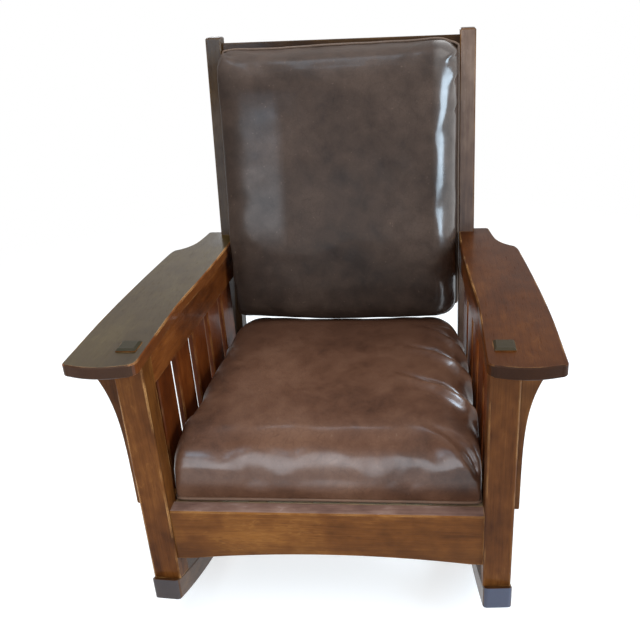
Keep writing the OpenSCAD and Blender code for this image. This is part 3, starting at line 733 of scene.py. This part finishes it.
def inflate(piece, pad):
    start = pointsOf(piece)
    held = piece.vertex_groups.new(name="held")
    for index in np.nonzero(start[:, 2] < pad["held"])[0]:
        held.add([int(index)], 1, "REPLACE")
    change = piece.modifiers.new("stuffing", "CLOTH")
    cloth = change.settings
    cloth.quality = stuffing["quality"]
    cloth.mass = stuffing["mass"]
    cloth.tension_stiffness = stuffing["stiffness"]
    cloth.compression_stiffness = stuffing["stiffness"]
    cloth.shear_stiffness = stuffing["shear"]
    cloth.bending_stiffness = stuffing["bending"]
    cloth.use_pressure = True
    cloth.uniform_pressure_force = stuffing["pressure"]
    cloth.vertex_group_mass = "held"
    cloth.shrink_min = -pad["spare"]
    cloth.effector_weights.gravity = 0
    change.point_cache.frame_start = 1
    change.point_cache.frame_end = stuffing["frames"]
    for step in range(1, stuffing["frames"] + 1):
        bpy.context.scene.frame_set(step)
    shown = piece.evaluated_get(bpy.context.evaluated_depsgraph_get())
    moved = np.array([v.co for v in shown.data.vertices], float)
    bpy.context.scene.frame_set(1)
    piece.modifiers.clear()
    piece.vertex_groups.clear()
    travel = moved - start
    far = np.linalg.norm(travel, axis=1, keepdims=True)
    travel *= stuffing["cap"] * np.tanh(far / stuffing["cap"]) / np.maximum(far, 1e-9)
    calm = spread(piece, travel, stuffing["calm"])
    setPoints(piece, start + calm + (travel - calm) * pad["pucker"])
    print(f"{piece.name}: swelled {far.mean() / mm:.1f} mm on average, "
          f"{far.max() / mm:.1f} at most, before the cap")


def subdivide(piece):
    change = piece.modifiers.new("fine", "SUBSURF")
    change.levels = change.render_levels = 1
    applyModifiers(piece)


def tube(name, path, radius, sides=10):
    ahead = np.roll(path, -1, axis=0) - np.roll(path, 1, axis=0)
    ahead /= np.linalg.norm(ahead, axis=1, keepdims=True)
    up = np.array([0.0, 0.0, 1.0])
    side = np.cross(ahead, up)
    side /= np.linalg.norm(side, axis=1, keepdims=True)
    rise = np.cross(side, ahead)
    points, faces = [], []
    for k in range(sides):
        angle = 2 * math.pi * k / sides
        points.append(path + radius * (math.cos(angle) * side + math.sin(angle) * rise))
    count = len(path)
    for k in range(sides):
        for i in range(count):
            a, b = k * count + i, k * count + (i + 1) % count
            c, d = (k + 1) % sides * count + (i + 1) % count, (k + 1) % sides * count + i
            faces.append((a, b, c, d))
    return meshFrom(name, np.vstack(points), faces)


def nodeExtent(name, axes):
    spans = pointsOf(nodes[name]) @ axes.T
    return spans.min(0), spans.max(0)


# The seat pad lies on its deck; the back pad leans with the posts.
padAxes = {
    "seat": np.array([[1, 0, 0], [0, 1, 0], [0, 0, 1]], float),
    "back": np.array([[1, 0, 0], leanUp, (0, -leanUp.z, leanUp.y)], float),
}

# Rooms, at the foot and at the head, are how far a pad may reach sideways. Rise is its height by the
# share of its length from the foot. Polish is a gain and the ways and limits that bound the patch.
seatPad = {
    "node": "seat_cushion",
    "body": "seat_pad",
    "grow": 0.01,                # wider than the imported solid, in all
    "under": 0.0003,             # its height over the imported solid's underside
    "corners": (0.012, 0.014, 0.055, 0.055),
    "sides": (0.6, 0.6, 1.15, 0.34),
    "headNarrow": 0.036,
    "leftRoom": (0.2838, 0.262),
    "rightRoom": (0.2838, 0.2645),
    "rimPush": 0.005,
    "drawn": 0.004,
    "thick": 0.115,
    "underRound": 0.003,
    "overRound": 0.05,
    "overShare": 0.75,
    "ease": 1.2,
    "rise": ((0, 0.108), (0.05, 0.1135), (0.1, 0.1175), (0.16, 0.1212), (0.24, 0.125), (0.35, 0.1297),
             (0.5, 0.1352), (0.65, 0.14), (0.8, 0.1448), (0.9, 0.149), (1, 0.1545)),
    "crown": 0.004,
    "headDrop": 0.024,           # the far corners sink
    "headSlope": 0,
    "footSlope": 0,
    "sag": 0,
    "skew": 0,
    "held": 0.012,               # the cover stays put below this height
    "spare": 0.04,               # how much larger the leather is than the form
    "pucker": 0.1,               # the share of the puckers that stays
    "piping": 0.0045,
    "pipingProud": 0.001,
    "pipingRoom": 0.28,
    "shades": leather["seat"],
    "rub": 0.6,
    "coat": 0.07,
    # how far the painted shade darkens the seat's rear
    "deep": 0.8,
    "polish": (
        (0.6, (((0, -1, 0), 0.25, 0.27), ((0, 0, -1), -0.385, -0.362), ((0, 0, 1), 0.3, 0.325))),
        (0.8, (((1, 0, 0), 0.21, 0.245), ((-1, 0, 0), -0.28, -0.27), ((0, 1, 0), -0.24, -0.18))),
    ),
    "waves": (((1, 1, 1.5), 7, 3, 0.0016), ((1, 1, 1), 28, 5, 0.0004)),    # stretch, scale, seed, height
}
backPad = {
    "node": "back_cushion",
    "body": "back_pad",
    "grow": 0.003,
    "under": 0.0003,
    "corners": (0.016, 0.036, 0.045, 0.018),
    "sides": (0.14, 1.2, 0.8, 0.5),
    "headNarrow": -0.006,
    "leftRoom": (0.248, 0.2555),
    "rightRoom": (0.2545, 0.2545),
    "rimPush": 0.0,
    "drawn": 0.003,
    "thick": 0.1,
    "underRound": 0.004,
    "overRound": 0.042,
    "overShare": 0.5,
    "ease": 1,
    "rise": ((0, 0.085), (0.12, 0.098), (0.31, 0.107), (0.6, 0.1), (0.85, 0.09), (1, 0.078)),
    "crown": 0.005,
    "headDrop": 0,
    "headSlope": 0.012,     # the head falls back towards its top edge
    "footSlope": 0.0215,    # the foot's top edge reaches down to the seat pad
    "sag": 0.0085,          # and further in the middle
    "skew": 0.005,          # the head's right end stands higher than its left
    "held": 0.008,
    "spare": 0.02,
    "pucker": 0.18,
    "piping": 0.01,
    "pipingProud": 0.004,
    "pipingRoom": 0.2546,
    "shades": leather["back"],
    "rub": 0.35,
    "coat": 0.05,
    "deep": 0,
    "polish": (
        (1.4, (((1, 0, 0), 0.195, 0.22), ((-1, 0, 0), -0.2515, -0.246))),
        (0.26, (((-1, 0, 0), 0.11, 0.14), ((1, 0, 0), -0.235, -0.2),
                ((0, 0, 1), 0.6, 0.67), ((0, 0, -1), -0.94, -0.86))),
    ),
    "waves": (((1, 0.8, 1.5), 8, 7, 0.0015), ((1, 1, 1), 26, 9, 0.0005)),
}


def placePad(pad, axes):
    low, high = nodeExtent(pad["node"], axes)
    pad["width"] = high[0] - low[0] + pad["grow"]
    pad["headWidth"] = pad["width"] - pad["headNarrow"]
    pad["length"] = high[1] - low[1]
    pad["axes"] = axes
    middle = (low + high) / 2
    pad["origin"] = np.array([middle[0], middle[1], low[2] + pad["under"]]) @ axes


seam = {
    "rays": 220,
    "from": 0.6,        # metres from the pad's middle, past any edge
    "points": 360,
    "rounds": 2,        # of averaging
}


# A closed line round the pad at one height, on its leather
def seamLine(piece, height, proud):
    mesh = piece.data
    tree = BVHTree.FromPolygons([v.co for v in mesh.vertices], [p.vertices for p in mesh.polygons])
    path = []
    for k in range(seam["rays"]):
        angle = 2 * math.pi * k / seam["rays"]
        outward = Vector((math.cos(angle), math.sin(angle), 0))
        hit = tree.ray_cast(outward * seam["from"] + Vector((0, 0, height)), -outward)[0]
        if hit is not None:
            path.append(np.array(hit))
    path = evenLoop(np.array(path), seam["points"])
    for _ in range(seam["rounds"]):
        path = (np.roll(path, 1, axis=0) + path * 2 + np.roll(path, -1, axis=0)) / 4
    outward = np.roll(path, -1, axis=0) - np.roll(path, 1, axis=0)
    outward = np.column_stack([outward[:, 1], -outward[:, 0], np.zeros(len(path))])
    outward /= np.linalg.norm(outward, axis=1, keepdims=True)
    return path + outward * proud


# Folds: each is a line in plan from the pad's edge inward, steep on one side and easy on the other,
# with a valley beyond its steep side
valleyPlace = 1.9       # times the steep side's width
valleyWidth = 1.3
farAway = 9.0           # metres: past any line


def foldHeights(points, folds):
    total = np.zeros(len(points))
    for fold in folds:
        line = np.array(fold["line"], float)
        lengths = lengthsAlong(line)
        best = np.full(len(points), farAway)
        side = np.zeros(len(points))
        along = np.zeros(len(points))
        for k in range(len(line) - 1):
            span = line[k + 1] - line[k]
            size = np.linalg.norm(span)
            offset = points[:, :2] - line[k]
            share = np.clip(offset @ span / size ** 2, 0, 1)
            gap = offset - share[:, None] * span
            far = np.linalg.norm(gap, axis=1)
            nearer = far < best
            best[nearer] = far[nearer]
            turn = span[0] * offset[:, 1] - span[1] * offset[:, 0]
            side[nearer] = np.sign(turn[nearer]) * fold["faces"]
            along[nearer] = (lengths[k] + share[nearer] * size) / lengths[-1]
        d = best * side
        near = np.where(d < 0, np.exp(-(d / fold["near"]) ** 2), np.exp(-(d / fold["far"]) ** 2))
        valley = np.exp(-((d - fold["far"] * valleyPlace) / (fold["far"] * valleyWidth)) ** 2)
        strength = fold["height"] * np.interp(along, *zip(*fold["fade"]))
        total += strength * (near - fold["valley"] * valley)
    return total


# Ridges on the pad's two sides, in plan, in metres from the chair's centre. Each line has a share of the
# height, which changes from its outer end to its inner one by the fade.
seatFolds = (
    {
        "lines": (
            ((0.300, -0.306), (0.281, -0.299), (0.258, -0.284), (0.218, -0.253), (0.170, -0.225)),
            ((0.300, -0.193), (0.276, -0.180), (0.252, -0.152), (0.208, -0.109), (0.156, -0.082),
             (0.119, -0.064)),
            ((0.300, -0.090), (0.274, -0.067), (0.243, -0.019), (0.198, 0.021), (0.130, 0.041)),
            ((0.300, -0.002), (0.270, 0.026), (0.243, 0.075), (0.205, 0.110), (0.143, 0.142)),
            ((0.300, 0.105), (0.267, 0.123), (0.242, 0.136), (0.190, 0.138)),
            ((0.300, 0.180), (0.263, 0.187), (0.231, 0.194)),
        ),
        "shares": (0.4, 1, 1, 0.9, 0.8, 0.6),
        "height": 0.019,
        "faces": -1,
        "near": 0.015,
        "far": 0.0055,
        "valley": 1.1,
        "fade": ((0, 0.9), (0.2, 1), (0.4, 0.7), (0.7, 0.3), (1, 0)),
    },
    {
        "lines": (
            ((-0.300, -0.215), (-0.270, -0.200), (-0.235, -0.182)),
            ((-0.300, -0.090), (-0.270, -0.080), (-0.240, -0.065)),
            ((-0.300, 0.010), (-0.270, 0.015), (-0.240, 0.025)),
            ((-0.300, 0.095), (-0.270, 0.100), (-0.240, 0.110)),
        ),
        "shares": (1, 1, 1, 1),
        "height": 0.005,
        "faces": 1,
        "near": 0.014,
        "far": 0.006,
        "valley": 0.6,
        "fade": ((0, 0.8), (0.4, 1), (1, 0)),
    },
)
# Where the seat's folds and waves begin and end: heights above its underside, then places along it
seatLimits = {
    "foldsFrom": (0.045, 0.075),
    "wavesFrom": (0.012, 0.04),
    "underBack": (0.1, 0.2),
    "underBackLoss": 0.6,       # the folds are lower under the back pad
    "front": (-0.22, -0.1),
    "frontWaves": 0.12,         # the tight front has little of the waves
}


def waves(points, pad):
    total = np.zeros(len(points))
    for stretch, scale, seed, height in pad["waves"]:
        total += noiseAt(points * stretch, scale, seed) * height
    return total


def seatShape(piece, pad):
    points = pointsOf(piece)
    normals = normalsOf(piece)
    along, height = points[:, 1], points[:, 2]
    folds = [{**group, "line": line, "height": group["height"] * share}
             for group in seatFolds for line, share in zip(group["lines"], group["shares"])]
    lift = foldHeights(points[:, :2] + pad["origin"][:2], folds) * smooth(height, *seatLimits["foldsFrom"])
    lift *= 1 - seatLimits["underBackLoss"] * smooth(along, *seatLimits["underBack"])
    calm = seatLimits["frontWaves"]
    calm = calm + (1 - calm) * smooth(along, *seatLimits["front"])
    lift += waves(points, pad) * smooth(height, *seatLimits["wavesFrom"]) * calm
    setPoints(piece, points + normals * lift[:, None])


# Plan lines on the back pad, from its middle: the pulled left edge, the crumpled upper right corner and
# one fold at the upper left
cornerFold = {"faces": 1, "far": 0.005, "valley": 0.8, "fade": ((0, 1), (0.6, 0.8), (1, 0))}
backFolds = (
    {"line": ((-0.244, -0.25), (-0.246, -0.1), (-0.249, 0.08), (-0.251, 0.25)), "faces": 1, "height": 0.0036,
     "near": 0.005, "far": 0.004, "valley": 0.5, "fade": ((0, 0), (0.1, 1), (0.95, 1), (1, 0.4))},
    {**cornerFold, "line": ((0.262, 0.285), (0.243, 0.262), (0.222, 0.247)), "height": 0.0045, "near": 0.012},
    {**cornerFold, "line": ((0.262, 0.232), (0.246, 0.222), (0.236, 0.2)), "height": 0.004, "near": 0.01},
    {**cornerFold, "line": ((0.262, 0.17), (0.247, 0.163), (0.238, 0.145)), "height": 0.003, "near": 0.01},
    {**cornerFold, "line": ((-0.255, 0.292), (-0.238, 0.27), (-0.216, 0.262)), "height": 0.005, "near": 0.009,
     "fade": ((0, 1), (0.5, 0.8), (1, 0))},
)
backLimits = {
    "foldsFrom": (0.03, 0.06),
    "wavesFrom": (0.012, 0.03),
}


def backShape(piece, pad):
    points = pointsOf(piece)
    normals = normalsOf(piece)
    height = points[:, 2]
    lift = waves(points, pad) + foldHeights(points, backFolds) * smooth(height, *backLimits["foldsFrom"])
    lift *= smooth(height, *backLimits["wavesFrom"])
    setPoints(piece, points + normals * lift[:, None])


groove = {
    "width": 0.0035,
    "depth": 0.003,
    "flat": (0.75, 0.95),       # a normal this far up or down has less and less of it
}


# The seam beside the piping, drawn in on the pad's sides
def stitchedGroove(piece, pad):
    points = pointsOf(piece)
    normals = normalsOf(piece)
    off = (points[:, 2] - pad["piping"]) / groove["width"]
    steep = 1 - smooth(np.abs(normals[:, 2]), *groove["flat"])
    setPoints(piece, points - normals * (groove["depth"] * np.exp(-off ** 2) * steep)[:, None])


def stand(piece, pad):
    points = pointsOf(piece)
    setPoints(piece, points @ pad["axes"] + pad["origin"])


piping = {
    "radius": 0.0031,
    "rub": 0.5,
    "band": (0.02, 0.008),      # from the room's limit: there the piping lies straight against it
}


def makePad(name, pad, axes, shape):
    placePad(pad, axes)
    cover = padForm(name, pad)
    remesh(cover, stuffing["voxel"] * (1))
    inflate(cover, pad)
    subdivide(cover)
    shape(cover, pad)
    stitchedGroove(cover, pad)
    holdBack(cover, pad)
    line = seamLine(cover, pad["piping"], pad["pipingProud"])
    room = pad["pipingRoom"]
    beside = smooth(np.abs(line[:, 0]), room - piping["band"][0], room - piping["band"][1])
    line[:, 0] += (np.sign(line[:, 0]) * room - line[:, 0]) * beside
    welt = tube(name + "_piping", line, piping["radius"])
    for piece in (cover, welt):
        stand(piece, pad)
        piece.data.polygons.foreach_set("use_smooth", [True] * len(piece.data.polygons))
        piece.data.update()
        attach(piece, pad["body"])
    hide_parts(pad["node"], pad["node"] + "_core")
    setFinish(cover, leatherFinish(name, pad["shades"], pad["rub"], pad["coat"], pad["polish"], pad["deep"]))
    setFinish(welt, leatherFinish(name + "_piping", pad["shades"], piping["rub"], pad["coat"]))
    print(f"{name}: {len(cover.data.polygons)} faces")


makePad("seat_pad_leather", seatPad, padAxes["seat"], seatShape)
makePad("back_pad_leather", backPad, padAxes["back"], backShape)

# Floor, world and lamps
studio = {
    "floorRadius": 30,
    "floorSides": 96,
    "floorColour": (0.62, 0.62, 0.62),
    "floorGlow": 0.62,     # added where the floor is seen or reflected, so that it is just white
    "fadeStart": 1.3,
    "fadeEnd": 2.6,
    "worldLight": 0.34,
    "lamps": (
        ("overhead", (-0.2, -0.6, 2.9), (0, 0, 0.4), (3.2, 3.0), 54, (1.0, 0.97, 0.93)),
        ("skylight", (-0.2, 0.0, 2.2), (0.24, 0, 0.4), (0.6, 0.5), 22, (0.6, 0.8, 1.0)),
        ("front_window", (-0.7, -3.1, 0.7), (-0.1, -0.3, 0.4), (1.6, 1.3), 46, (0.8, 0.9, 1.0)),
        ("left_window", (-1.07, -2.9, 1.86), (0, 0.1, 0.7), (0.5, 0.45), 11, (0.5, 0.76, 1.0)),
        ("rear_window", (-0.5, 3.2, 1.3), (0, 0.2, 0.6), (1.2, 0.5), 14, (0.9, 0.95, 1.0)),
        ("right_window", (2.26, -0.96, 1.25), (0.23, 0.12, 0.8), (1.6, 1.4), 88, (0.64, 0.83, 1.0)),
    ),
}


# 1 for a ray straight from the camera or off a glossy or through a clear surface, else 0
def seenRay(finish):
    rays = [finish.node("ShaderNodeLightPath", {}, {}, f"Is {kind} Ray")
            for kind in ("Camera", "Glossy", "Transmission")]
    return rays[0] + rays[1] + rays[2]


def buildStudio():
    count = studio["floorSides"]
    rim = [(studio["floorRadius"] * math.cos(2 * math.pi * k / count),
            studio["floorRadius"] * math.sin(2 * math.pi * k / count), 0) for k in range(count)]
    floor = meshFrom("floor", rim, [tuple(range(count))])
    finish = Finish("floor")
    seen = seenRay(finish)
    away = finish.node("ShaderNodeVectorMath", {"operation": "LENGTH"}, {0: finish.spot()}, "Value")
    far = finish.step(away, studio["fadeStart"], studio["fadeEnd"])
    paint = finish.node("ShaderNodeBsdfDiffuse", {}, {"Color": studio["floorColour"]})
    glow = finish.node("ShaderNodeEmission", {}, {"Color": (1, 1, 1), "Strength": seen * studio["floorGlow"]})
    near = finish.node("ShaderNodeAddShader", {}, {0: paint, 1: glow})
    white = finish.node("ShaderNodeEmission", {}, {"Color": (1, 1, 1), "Strength": 1.0})
    mixed = finish.node("ShaderNodeMixShader", {}, {0: far * seen, 1: near, 2: white})
    finish.node("ShaderNodeOutputMaterial", {}, {"Surface": mixed})
    setFinish(floor, finish.material)

    world = bpy.data.worlds.new("studio")
    bpy.context.scene.world = world
    air = Finish("studio", world)
    strength = air.step(seenRay(air), 0, 1, studio["worldLight"], 1)
    sky = air.node("ShaderNodeBackground", {}, {"Color": (1, 1, 1), "Strength": strength})
    air.node("ShaderNodeOutputWorld", {}, {"Surface": sky})

    for name, place, aim, size, power, colour in studio["lamps"]:
        data = bpy.data.lights.new(name, "AREA")
        data.shape = "RECTANGLE"
        data.size, data.size_y = size
        data.energy = power
        data.color = colour
        lamp = bpy.data.objects.new(name, data)
        lamp.location = place
        lamp.rotation_euler = (Vector(aim) - Vector(place)).to_track_quat("-Z", "Y").to_euler()
        bpy.context.scene.collection.objects.link(lamp)
    bpy.context.scene.view_settings.view_transform = "Standard"
    print("studio lit")


buildStudio()
